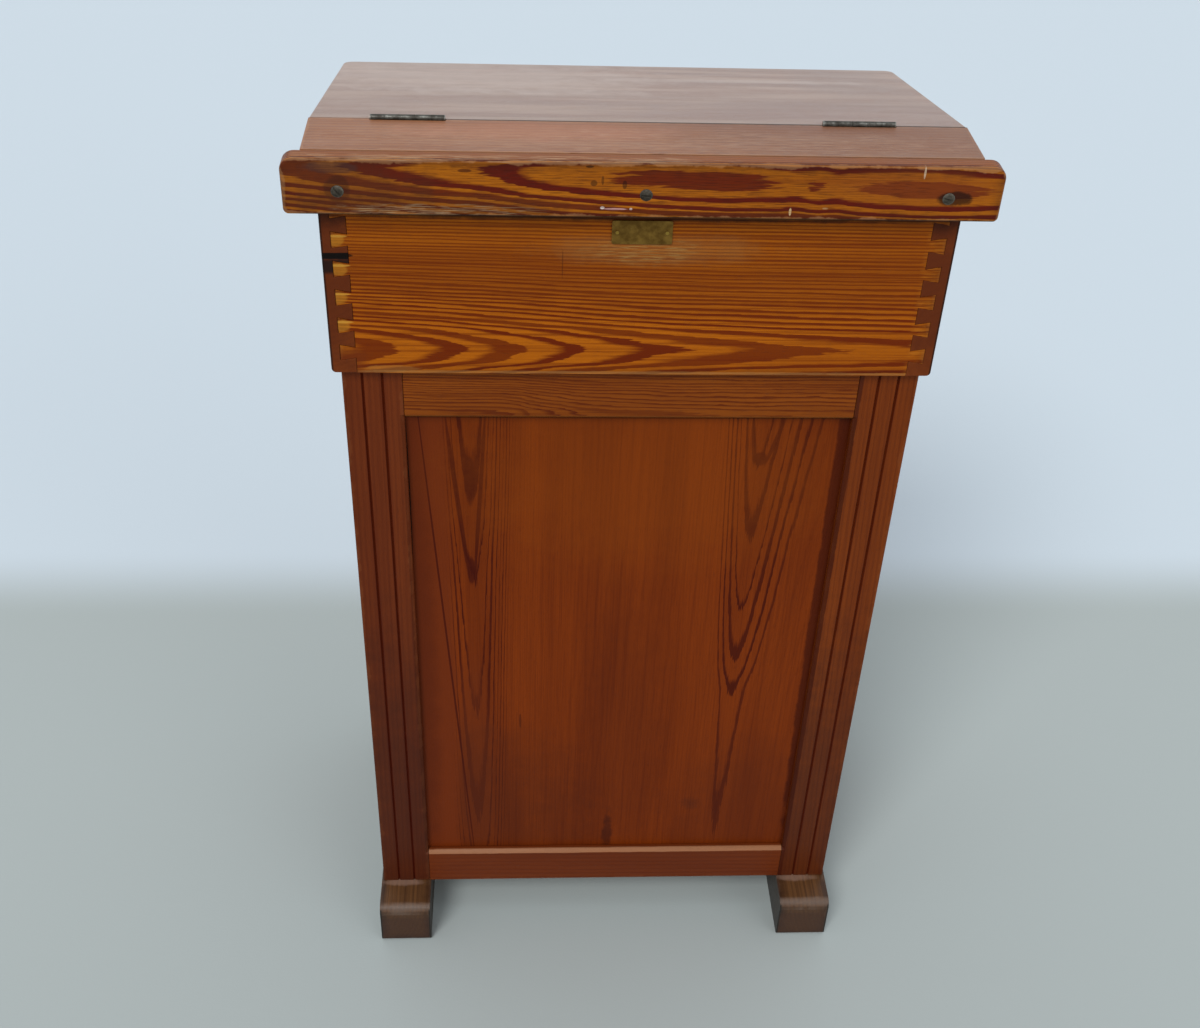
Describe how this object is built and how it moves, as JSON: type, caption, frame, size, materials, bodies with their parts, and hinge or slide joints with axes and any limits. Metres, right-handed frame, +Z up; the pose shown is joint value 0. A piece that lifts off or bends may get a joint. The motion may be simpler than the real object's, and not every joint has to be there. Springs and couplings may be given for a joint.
{
  "type": "standing desk",
  "caption": "Pitch-pine standing desk with a sloping hinged lid on a dovetailed box, over a panelled cupboard on sled feet with a locking rear door.",
  "frame": {"origin": "on the ground, under the middle of the desk", "axes": "+Z up; +X to the right as the closed high side is seen; +Y from that side towards the user"},
  "size_m": [0.656, 0.442, 1.1019],
  "materials": {
    "ledge": "satin varnish, worn at the arrises",
    "box": "satin varnish",
    "frame": "satin varnish",
    "panel": "satin varnish",
    "top": "worn varnish",
    "foot": "worn varnish",
    "inside": "bare",
    "iron": "dark bronzed",
    "steel": "dull",
    "brass": "dull"
  },
  "bodies": {
    "carcass": {"foot_left": "foot", "foot_right": "foot", "front_stile_left": "frame", "front_stile_right": "frame", "front_top_rail": "frame", "front_bottom_rail": "frame", "front_panel": "panel", "left_front_stile": "frame", "left_rear_stile": "frame", "left_top_rail": "frame", "left_bottom_rail": "frame", "left_panel": "panel", "right_front_stile": "frame", "right_rear_stile": "frame", "right_top_rail": "frame", "right_bottom_rail": "frame", "right_panel": "panel", "rear_top_rail": "frame", "rear_bottom_rail": "frame", "cabinet_floor": "inside", "shelf": "inside", "shelf_cleat_left": "inside", "shelf_cleat_right": "inside", "door_strike_plate": "iron", "door_hinge_upper_post_leaf": "iron", "door_hinge_upper_pin": "iron", "door_hinge_lower_post_leaf": "iron", "door_hinge_lower_pin": "iron", "box_front": "box", "box_rear": "box", "box_left_side": "box", "box_right_side": "box", "box_floor": "inside", "top_strip": "top", "ledge_board": "ledge", "brass_plate": "brass", "ledge_screw_left": "steel", "ledge_screw_middle": "steel", "ledge_screw_right": "steel", "lid_hinge_left_strip_leaf": "iron", "lid_hinge_left_pin": "iron", "lid_hinge_right_strip_leaf": "iron", "lid_hinge_right_pin": "iron"},
    "lid": {"lid": "top", "lid_batten_left": "inside", "lid_batten_right": "inside", "lid_hinge_left_lid_leaf": "iron", "lid_hinge_right_lid_leaf": "iron"},
    "door": {"door_hinge_stile": "frame", "door_lock_stile": "frame", "door_top_rail": "frame", "door_bottom_rail": "frame", "door_panel": "panel", "door_lock_case": "iron", "door_escutcheon": "brass", "door_hinge_upper_door_leaf": "iron", "door_hinge_lower_door_leaf": "iron"},
    "bolt": {"door_lock_bolt": "steel"},
    "key": {"door_key": "steel"}
  },
  "joints": [
    {"name": "lid_hinge", "type": "hinge", "parent": "carcass", "child": "lid", "pos_m": [0, -0.1146, 1.0989], "axis": [1, 0, 0], "range_deg": [0, 110]},
    {"name": "door_hinge", "type": "hinge", "parent": "carcass", "child": "door", "pos_m": [0.27125, 0.176, 0.4613], "axis": [0, 0, -1], "range_deg": [0, 170]},
    {"name": "key_turn", "type": "hinge", "parent": "door", "child": "key", "pos_m": [-0.2405, 0.176, 0.4613], "axis": [0, -1, 0], "range_deg": [0, 180]},
    {"name": "bolt_slide", "type": "slide", "parent": "door", "child": "bolt", "axis": [-1, 0, 0], "range_m": [0, 0.007]}
  ],
  "couplings": [
    {"joint": "bolt_slide", "follows": "key_turn", "m_per_rad": 0.002228}
  ]
}
